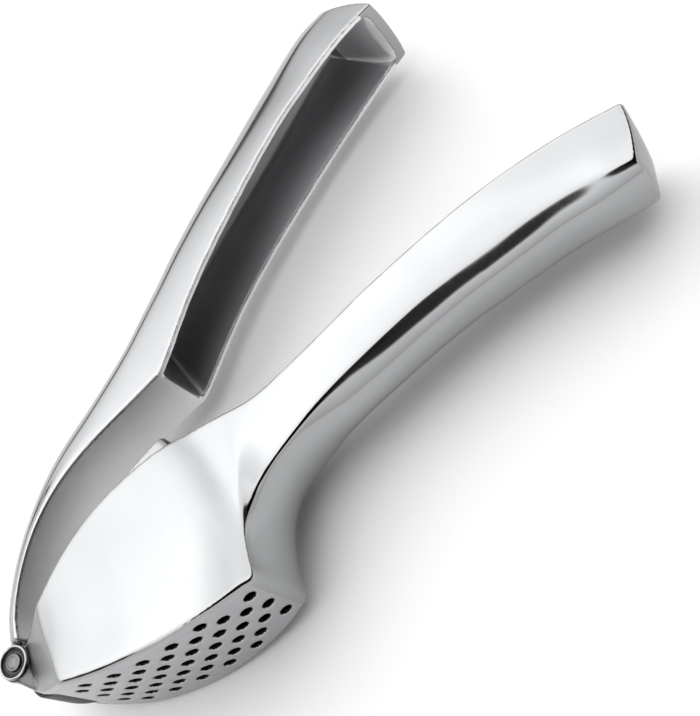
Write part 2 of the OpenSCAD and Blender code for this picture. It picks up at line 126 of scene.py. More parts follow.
def blur(v, sigma):
    """Gaussian blur along the first axis, in samples; its ends stay where they are."""
    if sigma <= 0:
        return v
    n = int(math.ceil(3 * sigma))
    k = np.exp(-0.5 * (np.arange(-n, n + 1) / sigma) ** 2)
    k /= k.sum()
    flat = v.reshape(len(v), -1)
    pad = np.concatenate([2 * flat[0] - flat[n:0:-1], flat, 2 * flat[-1] - flat[-2:-n - 2:-1]])
    return np.stack([np.convolve(pad[:, c], k, "valid") for c in range(flat.shape[1])], 1).reshape(v.shape)


def blur_closed(v, sigma):
    """Gaussian blur round a closed loop of points."""
    n = len(v)
    f = np.fft.fftfreq(n)
    g = np.exp(-2 * (math.pi * f * sigma) ** 2)
    return np.real(np.fft.ifft(np.fft.fft(v, axis=0) * g[:, None], axis=0))


RG = np.arange(0, 160, 0.1)
_cheek = np.minimum(blur(pchip([a for a, b in CHEEK], [b for a, b in CHEEK], RG), 12), HALF_W)
_inner = blur(pchip([a for a, b in INNER], [b for a, b in INNER], RG), 9)


def w_out(x, y):
    """Half width of the hopper at a point: flat cheeks, and two front facets that run in to the lugs."""
    a = np.interp(np.hypot(x, y), RG, _cheek)
    b = 4.62 + 0.71 * np.asarray(x, float) + 0.315 * np.asarray(y, float)
    k = 0.5
    h = np.clip(0.5 + 0.5 * (b - a) / k, 0, 1)
    return np.maximum(7.4, b + (a - b) * h - k * h * (1 - h))


def crown_of(C, hop, on_lever):
    """How square the back of an arm is: 2 is a plain crown, larger is fuller at its edges."""
    r = math.hypot(C[0], C[1])
    if on_lever:
        return 2.0 + 1.2 * min(1.0, max(0.0, (r - 75) / 35))
    return 2.0 + (1 - hop) * min(1.0, max(0.0, (r - 95) / 35))


# how far each arm's end bulges: along its height, across its width, and at its middle
BODY_END = (0.6, 0.3, 0.7, 0.6)
LEVER_END = (0.8, 0.7, 0.9, 0.9)


def w_in(r):
    return np.interp(r, RG, _inner)


def resample(loop, n):
    """n points at equal steps round a closed loop."""
    p = np.vstack([loop, loop[:1]])
    s = np.concatenate([[0], np.cumsum(np.linalg.norm(np.diff(p, axis=0), axis=1))])
    t = np.arange(n) / n * s[-1]
    return np.stack([np.interp(t, s, p[:, c]) for c in range(p.shape[1])], 1), s[-1]


def dense(table, step, sigma, sharp=()):
    """The station table at equal steps, with rounding noise blurred out but less so near the sharp stations."""
    a = np.array([row[:8] for row in table], float)
    s = np.concatenate([[0], np.cumsum(0.5 * (np.linalg.norm(np.diff(a[:, 2:4], axis=0), axis=1)
                                              + np.linalg.norm(np.diff(a[:, 4:6], axis=0), axis=1)))])
    n = int(s[-1] / step) + 1
    t = np.linspace(0, s[-1], n)
    d = np.stack([pchip(s, a[:, c], t) for c in range(8)], 1)
    soft, hard = blur(d, sigma / step), blur(d, 0.5 / step)
    k = np.zeros(n)
    for i in sharp:
        k = np.maximum(k, np.exp(-0.5 * ((t - s[i]) / 2.2) ** 2))
    k = k[:, None]
    return soft * (1 - k) + hard * k, t, s


# ---------------------------------------------------------------- meshes
def make(name, verts, faces):
    me = bpy.data.meshes.new(name)
    v = (np.asarray(verts, float) + HINGE) * 0.001
    me.from_pydata([tuple(p) for p in v], [], [tuple(int(i) for i in f) for f in faces])
    me.validate()
    ob = bpy.data.objects.new(name, me)
    bpy.context.scene.collection.objects.link(ob)
    return ob


def outward(verts, faces):
    v = np.asarray(verts, float)
    vol = 0.0
    for f in faces:
        for i in range(1, len(f) - 1):
            vol += np.dot(v[f[0]], np.cross(v[f[i]], v[f[i + 1]]))
    return faces if vol > 0 else [tuple(reversed(f)) for f in faces]


def skin(name, rings):
    """A closed solid through rings of equal length; its ends are closed by fans."""
    rings = np.asarray(rings, float)
    m, n = rings.shape[:2]
    v = np.vstack([rings.reshape(-1, 3), rings[0].mean(0), rings[-1].mean(0)])
    f = []
    for i in range(m - 1):
        for j in range(n):
            a, b = i * n + j, i * n + (j + 1) % n
            f.append((a, b, b + n, a + n))
    e = (m - 1) * n
    for j in range(n):
        k = (j + 1) % n
        f.append((k, j, m * n))
        f.append((e + j, e + k, m * n + 1))
    return make(name, v, outward(v, f))


def revolve(name, profile, n=96, axis_z=0.0, flip=False):
    """A closed solid of revolution about the hinge axis; profile is (r, z) from the axis back to the axis or a closed loop off it."""
    p = list(profile)
    v, f = [], []
    closed = p[0][0] > 1e-6
    for r, z in p:
        for k in range(n):
            a = 2 * math.pi * k / n
            v.append((r * math.cos(a), r * math.sin(a), axis_z + (-z if flip else z)))
    m = len(p)
    for i in range(m if closed else m - 1):
        for k in range(n):
            a, b = i * n + k, i * n + (k + 1) % n
            c, d = ((i + 1) % m) * n + k, ((i + 1) % m) * n + (k + 1) % n
            f.append((a, b, d, c))
    ob = make(name, v, outward(v, f))
    if not closed:
        import bmesh
        bm = bmesh.new()
        bm.from_mesh(ob.data)
        bmesh.ops.remove_doubles(bm, verts=bm.verts, dist=1e-8)
        bmesh.ops.recalc_face_normals(bm, faces=bm.faces)
        bm.to_mesh(ob.data)
        bm.free()
    return ob


def drum(name, r, w0, w1, fillet=0.0, n=96):
    if fillet:
        arc = [(r - fillet + fillet * math.sin(t), fillet * math.cos(t)) for t in np.linspace(0, math.pi / 2, 7)]
        p = [(0, w0)] + [(x, w0 + fillet - z) for x, z in arc] + [(x, w1 - fillet + z) for x, z in reversed(arc)] + [(0, w1)]
    else:
        p = [(0, w0), (r, w0), (r, w1), (0, w1)]
    return revolve(name, p, n)


def cut(ob, tool, op="DIFFERENCE"):
    m = ob.modifiers.new("b", "BOOLEAN")
    m.operation, m.object = op, tool
    try:
        m.solver = "MANIFOLD"
    except TypeError:
        m.solver = "EXACT"
    apply(ob)
    bpy.data.objects.remove(tool, do_unlink=True)
    return ob


def apply(ob):
    dg = bpy.context.evaluated_depsgraph_get()
    me = bpy.data.meshes.new_from_object(ob.evaluated_get(dg), depsgraph=dg)
    old = ob.data
    ob.modifiers.clear()
    ob.data = me
    bpy.data.meshes.remove(old)
    if not len(me.vertices):
        raise RuntimeError(ob.name + " became empty")


def cast(ob, voxel=0.28, rounds=8, factor=0.5):
    """Turns the cut solid into one even skin with softened edges, as a polished casting has."""
    m = ob.modifiers.new("v", "REMESH")
    m.mode, m.voxel_size, m.use_smooth_shade = "VOXEL", voxel * 0.001, True
    s = ob.modifiers.new("s", "SMOOTH")
    s.factor, s.iterations = factor, rounds
    apply(ob)
    ob.data.shade_smooth()
    return ob


def section(B, C, T, wc, wt, hop, n, s_crease, s_rim, crown=2.0):
    """Closed outline across an arm: crowned back, edge, side, rim, and straight across the top."""
    wc = hop * float(w_out(C[0], C[1])) + (1 - hop) * wc
    f = np.linspace(0, 1, 60)
    back = np.column_stack([C + (B - C) * (1 - f[:, None] ** crown), wc * f])
    g = np.linspace(0, 1, 60)[1:]
    P = C + (T - C) * g[:, None]
    w = hop * w_out(P[:, 0], P[:, 1]) + (1 - hop) * (wc + (wt - wc) * g + 0.25 * np.sin(math.pi * g))
    side = np.column_stack([P, w])
    wl = w[-1]
    lid = np.column_stack([np.repeat(T[None], 39, 0), wl * (1 - np.linspace(0, 1, 40)[1:])])
    half = np.vstack([back, side, lid])
    mir = half[-2:0:-1] * [1, 1, -1]
    loop, length = resample(np.vstack([half, mir]), 400)
    step = length / 400
    a, b = blur_closed(loop, s_crease / step), blur_closed(loop, s_rim / step)
    up = (T - C) / np.linalg.norm(T - C)
    h = np.clip(((loop[:, :2] - C) @ up) / np.linalg.norm(T - C), 0, 1)
    k = np.clip((h - 0.35) / 0.3, 0, 1)[:, None]
    out, _ = resample(a * (1 - k) + b * k, n)
    # the loop keeps starting at the middle of the back
    return out


def pillow(rings, C, T, w, tall, wide, reach=8):
    """Swells an arm's end so that its edges bow outwards too; the last rings share the change."""
    rings = [np.array(r) for r in rings]
    ax = rings[-1].mean(0) - rings[-3].mean(0)
    ax[2] = 0
    ax /= np.linalg.norm(ax)
    up = (T - C) / np.linalg.norm(T - C)
    for i in range(reach):
        k = 1 - i / reach
        k = k * k * (3 - 2 * k)
        r = rings[-1 - i]
        u = np.clip(2 * ((r[:, :2] - C) @ up) / np.linalg.norm(T - C) - 1, -1, 1)
        v = np.clip(r[:, 2] / w, -1, 1)
        rings[-1 - i] = r + ax * (k * (tall * (1 - u * u) + wide * (1 - v * v)))[:, None]
    return rings


def dome(rings, height, first, inset=0.9, start=False):
    """Adds rings that round an arm's end over: an edge of radius inset, then a low dome."""
    end, prev = (rings[0], rings[1]) if start else (rings[-1], rings[-2])
    c = end.mean(0)
    out = (end - prev).mean(0)
    u, _, vt = np.linalg.svd(end - c)
    nrm = vt[2] * (1 if np.dot(vt[2], out) > 0 else -1)
    size = np.linalg.norm(end - c, axis=1)[:, None]
    extra = []
    for t in np.linspace(0, math.pi / 2, 8)[1:]:
        d = inset * (1 - math.cos(t))
        extra.append(c + (end - c) * (1 - d / size) + nrm * inset * math.sin(t) * first)
    last = extra[-1]
    for k in (0.85, 0.7, 0.5, 0.3, 0.12):
        extra.append(c + (last - c) * k + nrm * height * (1 - k * k) * (1 - first * 0) - (nrm * 0))
    # the dome rises from the rounded edge
    base = nrm * inset * first
    for i, k in enumerate((0.85, 0.7, 0.5, 0.3, 0.12)):
        extra[7 + i] = c + (last - c - base) * k + base + nrm * height * (1 - k * k)
    return (extra[::-1] + list(rings)) if start else (list(rings) + extra)


def floor_profile(g, turn=0.0):
    rr = FLOOR_R - FLOOR_T - g
    a = np.radians(np.linspace(-85, -40, 200))
    p = np.column_stack([FC[0] + rr * np.cos(a), FC[1] + rr * np.sin(a)])
    p = np.vstack([[0.0, -2.6 + g], p])
    c, s = math.cos(math.radians(turn)), math.sin(math.radians(turn))
    p = p @ np.array([[c, s], [-s, c]])
    return np.linalg.norm(p, axis=1), np.arctan2(p[:, 1], p[:, 0])


def wedge(name, r0, r1, gap, top_deg, g, turn=0.0, corner=1.5, end_corner=2.4, step=0.6, low=None):
    """A solid inside the hopper: between two radii, from the floor's curve up to one angle, following the side walls."""
    fr, fa = floor_profile(g, turn)
    n = int((r1 - r0) / step) + 1
    rs = np.concatenate([np.linspace(r0, r1 - end_corner, n), r1 - end_corner + end_corner * np.sin(np.linspace(0, math.pi / 2, 12)[1:])])
    rings = []
    for r in rs:
        a0 = float(np.interp(r, fr, fa))
        if low is not None:
            a0 = max(a0, math.radians(low))
        a1 = math.radians(top_deg)
        w = float(w_in(r)) - gap
        if r > r1 - end_corner:
            w -= end_corner - math.sqrt(max(0.0, end_corner ** 2 - (r - (r1 - end_corner)) ** 2))
        pts = []
        for t in np.linspace(-(w - corner), w - corner, 24):
            pts.append((a0 * r, t))
        for t in np.linspace(0, math.pi / 2, 8)[1:]:
            pts.append((a0 * r + corner * (1 - math.cos(t)), w - corner + corner * math.sin(t)))
        for t in np.linspace(0, 1, 26)[1:]:
            pts.append((a0 * r + corner + (a1 * r - a0 * r - corner) * t, w))
        for t in np.linspace(w, -w, 30)[1:]:
            pts.append((a1 * r, t))
        for t in np.linspace(1, 0, 26)[1:]:
            pts.append((a0 * r + corner + (a1 * r - a0 * r - corner) * t, -w))
        for t in np.linspace(math.pi / 2, 0, 8)[1:-1]:
            pts.append((a0 * r + corner * (1 - math.cos(t)), -(w - corner) - corner * math.sin(t)))
        rings.append([(r * math.cos(h / r), r * math.sin(h / r), z) for h, z in pts])
    return skin(name, rings)


def channel(name, d, i0, i1, t_wall, depth, slope0, slope1):
    """The hollow of a handle between two stations, with sloping ends."""
    rings = []
    for i in range(i0, i1 + 1):
        B, C, T, wc, wt = d[i, 0:2], d[i, 2:4], d[i, 4:6], d[i, 6], d[i, 7]
        up = (T - C) / np.linalg.norm(T - C)
        q = min(1.0, (i - i0) / slope0, (i1 - i) / slope1)
        q = max(q, 0.0)
        q = q * q * (3 - 2 * q) if q < 1 else 1
        F = C + (B - C) * depth
        F = T + (F - T) * (0.02 + 0.98 * q)
        F2 = F + (T - F) * 0.22
        wf, wr = wc - t_wall - 0.7, wt - t_wall
        T2 = T + up * 4
        wtt = wr + (wr - wf) * 4 / 12
        k = np.linspace(0, 1, 16)[:, None]
        prof = np.vstack([
            np.column_stack([np.repeat(F[None], 20, 0), np.linspace(0, wf * 0.8, 20)]),
            np.concatenate([F, [wf * 0.8]]) * (1 - k[1:]) + np.concatenate([F2, [wf]]) * k[1:],
            np.concatenate([F2, [wf]]) * (1 - k[1:]) + np.concatenate([T, [wr]]) * k[1:],
            np.concatenate([T, [wr]]) * (1 - k[1:]) + np.concatenate([T2, [wtt]]) * k[1:],
            np.column_stack([np.repeat(T2[None], 10, 0), np.linspace(wtt, 0, 11)[1:]])])
        mir = prof[-2:0:-1] * [1, 1, -1]
        loop, length = resample(np.vstack([prof, mir]), 200)
        low = blur_closed(loop, 2.2 / (length / 200))
        hgt = np.clip(((loop[:, :2] - F) @ up) / max(1e-6, np.linalg.norm(T - F)), 0, 1)
        kk = np.clip((hgt - 0.7) / 0.25, 0, 1)[:, None]
        rings.append(low * (1 - kk) + loop * kk)
    return skin(name, rings)


ARMS = {}


# ---------------------------------------------------------------- hopper body
def build_body():
    tab = [list(r) for r in BODY]
    for r in tab:
        if r[8] == 1:
            r[6] = float(w_out(r[2], r[3]))
            r[7] = float(w_out(r[4], r[5]))
    step = 0.55
    d, t, s = dense(tab, step, 3.0, sharp=(17, 18))
    hop = np.interp(t, [s[14], s[24]], [1, 0])
    hop = hop * hop * (3 - 2 * hop)
    # the floor itself is a true arc
    for i in range(len(d)):
        if t[i] < s[16] and d[i, 0] > 11:
            y = FC[1] - math.sqrt(FLOOR_R ** 2 - (d[i, 0] - FC[0]) ** 2)
            k = min(1, (d[i, 0] - 11) / 3, (s[16] - t[i]) / 2)
            d[i, 1] += (y - d[i, 1]) * k
            d[i, 3] += (y - d[i, 3]) * k
    rings = []
    for i in range(len(d)):
        hopper_k = hop[i]
        sc = 0.45 + 0.4 * hopper_k
        rings.append(section(d[i, 0:2], d[i, 2:4], d[i, 4:6], d[i, 6], d[i, 7], hopper_k, 170, sc, 0.32,
                             crown_of(d[i, 2:4], hopper_k, False)))
    tall, wide, height, first = BODY_END
    rings = dome(pillow(rings[:-1], d[-2, 2:4], d[-2, 4:6], d[-2, 7], tall, wide), height, first, 1.2)
    ob = skin("hopper_shell", rings)
    for m in (-1, 1):
        a, b = sorted((m * GAP_W, m * LUG_W))
        if m > 0:
            lug = revolve("lug", [(0, a), (LUG_R, a)] + [(LUG_R - 0.7 + 0.7 * math.cos(q), b - 0.7 + 0.7 * math.sin(q)) for q in np.linspace(0, math.pi / 2, 8)] + [(0, b)])
        else:
            lug = revolve("lug", [(0, b), (LUG_R, b)] + [(LUG_R - 0.7 + 0.7 * math.cos(q), a + 0.7 - 0.7 * math.sin(q)) for q in np.linspace(0, math.pi / 2, 8)] + [(0, a)])
        cut(ob, lug, "UNION")
    i0 = int(np.argmin(abs(t - s[25]))) + 2
    i1 = len(d) - 5
    ARMS["body"] = (d, i0, i1, 2.0)
    cut(ob, channel("tool", d, i0, i1, 2.0, 0.45, 9, 5))
    cut(ob, wedge("tool", LUG_R + 0.7, CHAMBER_R, 0, 80, 0))
    cut(ob, drum("tool", LUG_R + 0.8, -GAP_W, GAP_W))
    cut(ob, drum("tool", FERRULE_R + 0.25, LUG_W, 20))
    cut(ob, drum("tool", FERRULE_R + 0.25, -20, -LUG_W))
    cut(ob, drum("tool", PIN_R + PIN_GAP, -20, 20, n=48))
    # the pressing holes, each with a softened mouth on the outside
    vs, fs = [], []
    for k in range(13):
        a = math.radians(ROW0 - k * ROW_STEP)
        zs = (-0.5, 0.5) if k == 1 else ((-1, 0, 1) if k % 2 == 0 else (-1.5, -0.5, 0.5, 1.5))
        er = np.array([math.cos(a), math.sin(a), 0])
        et = np.array([-math.sin(a), math.cos(a), 0])
        ez = np.array([0, 0, 1.0])
        prof = [(0, -5), (HOLE_R, -5), (HOLE_R, -0.55)] + [(HOLE_R + 0.4 * (1 - math.cos(q)), -0.55 + 0.55 * math.sin(q)) for q in np.linspace(0, math.pi / 2, 6)[1:]] + [(HOLE_R + 0.4, 2.5), (0, 2.5)]
        for z in zs:
            c = np.array([FC[0], FC[1], z * PITCH]) + er * FLOOR_R
            base = len(vs)
            n = 32
            vs.append(tuple(c + er * prof[0][1]))
            for r, h in prof[1:-1]:
                for j in range(n):
                    q = 2 * math.pi * j / n
                    vs.append(tuple(c + er * h + (et * math.cos(q) + ez * math.sin(q)) * r))
            vs.append(tuple(c + er * prof[-1][1]))
            m = len(prof) - 2
            for j in range(n):
                j2 = (j + 1) % n
                fs.append((base, base + 1 + j2, base + 1 + j))
                for i in range(m - 1):
                    p = base + 1 + i * n
                    fs.append((p + j, p + j2, p + n + j2, p + n + j))
                p = base + 1 + (m - 1) * n
                fs.append((p + j, p + j2, base + 1 + m * n))
    cut(ob, make("tool", vs, outward(vs, fs)))
    return cast(ob)


def build_lever():
    d, t, s = dense(LEVER, 0.55, 3.0, sharp=(14,))
    rings = [section(d[i, 0:2], d[i, 2:4], d[i, 4:6], d[i, 6], d[i, 7], 0.0, 170, 1.8, 0.3, crown_of(d[i, 2:4], 0.0, True) + 0.4)
             for i in range(len(d))]
    tall, wide, height, first = LEVER_END
    rings = dome(pillow(rings[:-1], d[-2, 2:4], d[-2, 4:6], d[-2, 7], tall, wide), height, first, 0.8)
    ob = skin("lever_shell", rings)
    i0 = int(np.argmin(abs(t - s[14]))) + 1
    i1 = len(d) - 5
    ARMS["lever"] = (d, i0, i1, 1.6)
    ARMS["lever_line"] = (d, t, s)
    cut(ob, channel("tool", d, i0, i1, 1.6, 0.55, 7, 5))
    cut(ob, drum("tool", LUG_R + 0.7, -20, 20))
    for m in (-1, 1):
        w0, w1 = sorted((m * 2.2, m * 4.3))
        cut(ob, drum("knuckle", LUG_R, w0, w1, 0.3), "UNION")
        poly = [(-4.2, 0), (1.5, 0), (0.9, 5.2), (-0.2, 8.5), (-5.4, 8.5)]
        v = [(x, y, w0) for x, y in poly] + [(x, y, w1) for x, y in poly]
        f = [(4, 3, 2, 1, 0), (5, 6, 7, 8, 9)] + [(i, (i + 1) % 5, 5 + (i + 1) % 5, 5 + i) for i in range(5)]
        cut(ob, make("knuckle", v, outward(v, f)), "UNION")
    cut(ob, drum("tool", LUG_R + 0.5, -2.2, 2.2))
    cut(ob, drum("tool", PIN_R + PIN_GAP, -20, 20, n=48))
    return cast(ob)


def build_block():
    ob = wedge("press_block_shell", LUG_R + 1.0, CHAMBER_R - BLOCK_END, BLOCK_GAP, BLOCK_TOP, 0.5, BLOCK_LIFT, corner=1.0, end_corner=1.6)
    for r0, r1 in ((13, 33.5), (36, CHAMBER_R - BLOCK_END - BLOCK_WALL)):
        cut(ob, wedge("tool", r0, r1, BLOCK_GAP + BLOCK_WALL, BLOCK_TOP + 1, 0.5 + BLOCK_WALL + 0.6, BLOCK_LIFT, corner=1.5, end_corner=1.5, low=-40))
    cut(ob, drum("knuckle", LUG_R, -1.9, 1.9, 0.3), "UNION")
    poly = [(0, -2), (8, -3), (8, 8), (2.5, 3.3)]
    v = [(x, y, -1.9) for x, y in poly] + [(x, y, 1.9) for x, y in poly]
    f = [(3, 2, 1, 0), (4, 5, 6, 7)] + [(i, (i + 1) % 4, 4 + (i + 1) % 4, 4 + i) for i in range(4)]
    cut(ob, make("web", v, outward(v, f)), "UNION")
    cut(ob, drum("tool", PIN_R + PIN_GAP, -20, 20, n=48))
    return cast(ob)


def build_pin():
    head = [(1.85, 0.0), (1.92, 0.06), (1.92, 0.22), (1.82, 0.34), (1.62, 0.40), (1.50, 0.37), (1.42, 0.42), (1.25, 0.52), (0.95, 0.62), (0.55, 0.70), (0.25, 0.74), (0.0, 0.75)]
    b = LUG_W + 0.5
    p = [(0.0, -b - 0.75)] + [(r, -b - z) for r, z in reversed(head[:-1])] + [(PIN_R, -b), (PIN_R, b)] + [(r, b + z) for r, z in head[:-1]] + [(0.0, b + 0.75)]
    fine = []
    for (r0, z0), (r1, z1) in zip(p, p[1:]):
        k = max(1, int(math.hypot(r1 - r0, z1 - z0) / 0.12)) if abs(z0) > b - 0.1 and abs(z1) > b - 0.1 else 1
        fine += [(r0 + (r1 - r0) * i / k, z0 + (z1 - z0) * i / k) for i in range(k)]
    fine.append(p[-1])
    ob = revolve("hinge_rivet", fine, 120)
    # the hammered faces are slightly uneven
    me = ob.data
    rng = np.random.default_rng(7)
    dents = [(rng.uniform(0.2, 1.7), rng.uniform(0, 2 * math.pi), rng.uniform(0.25, 0.5), rng.uniform(-0.035, 0.03)) for _ in range(22)]
    for v in me.vertices:
        p = np.array(v.co) * 1000 - HINGE
        if abs(p[2]) > b + 0.15:
            e = 0.0
            for r, a, s, h in dents:
                q = (p[0] - r * math.cos(a)) ** 2 + (p[1] - r * math.sin(a)) ** 2
                e += h * math.exp(-q / (2 * s * s * 0.35))
            v.co.z += math.copysign(min(0.0, e), p[2]) * 0.001
    me.shade_smooth()
    return ob


def build_ferrules():
    r0, r1 = PIN_R + PIN_GAP + 0.25, FERRULE_R
    prof = [(r0, 0.0), (r0, 0.20), (2.05, 0.22), (2.2, 0.16), (2.32, 0.14), (2.44, 0.20), (2.56, 0.30), (2.66, 0.32), (2.76, 0.26), (2.88, 0.16), (3.06, 0.14), (3.16, 0.24)]
    prof += [(3.47 - 0.31 * math.cos(q), 0.62 + 0.36 * math.sin(q)) for q in np.linspace(0.0, math.pi, 18)]
    prof += [(r1, 0.3), (r1, 0.0)]
    obs = []
    for m in (1, -1):
        o = revolve("ferrule_near" if m > 0 else "ferrule_far", [(r, m * (LUG_W + z)) for r, z in prof], 120)
        o.data.shade_smooth()
        obs.append(o)
    return obs


# ---------------------------------------------------------------- materials
def material(name, color, rough, spread, bump, scale, speck=0.0, coat=0.0):
    """Polished metal: a colour cloud from a coarse noise, and roughness and fine surface relief from a finer noise; the
    painted shade in the hollows comes from the darker materials given to them, not from here.
    """
    m = bpy.data.materials.new(name)
    m.use_nodes = True
    nt = m.node_tree
    nt.nodes.clear()
    out = nt.nodes.new("ShaderNodeOutputMaterial")
    p = nt.nodes.new("ShaderNodeBsdfPrincipled")
    nt.links.new(p.outputs[0], out.inputs[0])
    p.inputs["Metallic"].default_value = 1.0
    co = nt.nodes.new("ShaderNodeTexCoord")
    big = nt.nodes.new("ShaderNodeTexNoise")
    big.inputs["Scale"].default_value = scale * 0.06
    big.inputs["Detail"].default_value = 3
    fine = nt.nodes.new("ShaderNodeTexNoise")
    fine.inputs["Scale"].default_value = scale
    fine.inputs["Detail"].default_value = 5
    for n in (big, fine):
        nt.links.new(co.outputs["Object"], n.inputs["Vector"])
    ramp = nt.nodes.new("ShaderNodeValToRGB")
    ramp.color_ramp.elements[0].position = 0.3
    ramp.color_ramp.elements[1].position = 0.75
    ramp.color_ramp.elements[0].color = tuple(c * 0.93 for c in color) + (1,)
    ramp.color_ramp.elements[1].color = tuple(color) + (1,)
    nt.links.new(big.outputs["Fac"], ramp.inputs["Fac"])
    nt.links.new(ramp.outputs[0], p.inputs["Base Color"])
    add = nt.nodes.new("ShaderNodeMath")
    add.operation = "MULTIPLY_ADD"
    nt.links.new(fine.outputs["Fac"], add.inputs[0])
    add.inputs[1].default_value = spread
    add.inputs[2].default_value = rough - spread * 0.5
    nt.links.new(add.outputs[0], p.inputs["Roughness"])
    b = nt.nodes.new("ShaderNodeBump")
    b.inputs["Strength"].default_value = bump
    b.inputs["Distance"].default_value = 0.00005
    nt.links.new(fine.outputs["Fac"], b.inputs["Height"])
    nt.links.new(b.outputs[0], p.inputs["Normal"])
    return m


POLISHED = material("polished_casting", (0.365, 0.37, 0.375), 0.09, 0.05, 0.03, 900)
# The flat land round the lugs takes this near-black copy of the casting metal: painted shade over a bright reflection.
LAND_SHADE = material("lug_land_painted_shade", (0.13, 0.131, 0.133), 0.34, 0.10, 0.08, 1400)
# A darker, rougher copy of the casting metal for the front facets and the handle's end cap: painted shade.
FACET_SHADE = material("front_facet_painted_shade", (0.30, 0.304, 0.308), 0.34, 0.08, 0.06, 1200)
# A near-white copy of the casting metal for the lever's inner face, its channel lip and far end wall: painted
# highlight.
FACE_HIGHLIGHT = material("lever_inner_face_painted_highlight", (0.90, 0.905, 0.915), 0.40, 0.08, 0.05, 1200)
SATIN = material("satin_sieve", (0.43, 0.435, 0.445), 0.36, 0.12, 0.2, 2600)
BLOCK = material("block_metal", (0.36, 0.365, 0.37), 0.26, 0.10, 0.12, 1600)
RIVET = material("rivet_metal", (0.15, 0.15, 0.153), 0.22, 0.16, 0.9, 1400)
# A dark copy of the casting metal for the hopper's chamber and the handles' channels: painted shade in the hollows.
INSIDE_SHADE = material("inside_painted_shade", (0.26, 0.263, 0.27), 0.40, 0.12, 0.15, 1500)
# Near-black for the ferrules round the pin and at their outer edge: painted shade in the gaps.
GROOVE_SHADE = material("hinge_groove_painted_shade", (0.06, 0.06, 0.062), 0.30, 0.15, 0.3, 2200)
# Near-black for the sieve's hole walls and the block's pressing face: painted shade in the holes and between the parts.
HOLE_SHADE = material("hole_wall_painted_shade", (0.015, 0.015, 0.016), 0.45, 0.15, 0.2, 2600)


def dress(ob, mats, pick=None):
    ob.data.materials.clear()
    for m in mats:
        ob.data.materials.append(m)
    if pick is not None:
        me = ob.data
        n = len(me.polygons)
        c = np.empty(n * 3)
        me.polygons.foreach_get("center", c)
        nr = np.empty(n * 3)
        me.polygons.foreach_get("normal", nr)
        idx = pick(c.reshape(-1, 3) * 1000 - HINGE, nr.reshape(-1, 3)).astype(np.int32)
        me.polygons.foreach_set("material_index", idx)
        me.update()


body = build_body()
lever = build_lever()
block = build_block()
rivet = build_pin()
ferrules = build_ferrules()


def in_channel(c, n, arm):
    """1 for faces that line the hollow of a handle, 3 for its far end wall, 2 for its lip, 0 elsewhere."""
    d, i0, i1, t_wall = arm
    seg = d[i0:i1 + 1]
    mid = (seg[:, 2:4] + seg[:, 4:6]) / 2
    near = np.empty(len(c), int)
    for a in range(0, len(c), 20000):
        q = c[a:a + 20000, None, :2] - mid[None]
        near[a:a + 20000] = np.argmin((q ** 2).sum(2), 1)
    k = seg[near]
    up = k[:, 4:6] - k[:, 2:4]
    ln = np.linalg.norm(up, axis=1)
    up = up / ln[:, None]
    h = ((c[:, :2] - k[:, 2:4]) * up).sum(1) / ln
    off = np.linalg.norm(c[:, :2] - mid[near], axis=1)
    ax = np.gradient(mid, axis=0)
    ax = (ax / np.linalg.norm(ax, axis=1)[:, None])[near]
    along = (n[:, :2] * ax).sum(1)
    beyond = ((c[:, :2] - mid[near]) * ax).sum(1)
    wr = k[:, 6] + (k[:, 7] - k[:, 6]) * np.clip(h, 0, 1)
    w = abs(c[:, 2])
    rise = (n[:, :2] * up).sum(1)
    side = n[:, 2] * np.sign(c[:, 2])
    ends = ((near >= len(seg) - 8) & (along > 0.5)) | ((near <= 2) & (along < -0.5)) | (abs(beyond) > 4)
    inside = (h > -0.9) & (h < 1.1) & (w < wr - t_wall + 0.5) & (off < 16) & ((rise < 0.7) | (h < 0.8)) & (rise > -0.35) & ~ends
    lip = (rise > 0.6) & (h > 0.85) & (w > wr - t_wall - 0.8) & (w < wr + 0.5) & (off < 16) & (abs(beyond) < 1.5)
    far_wall = inside & (near >= len(seg) - 8) & (along < -0.45)
    return np.where(far_wall, 3, np.where(inside, 1, np.where(lip, 2, 0)))


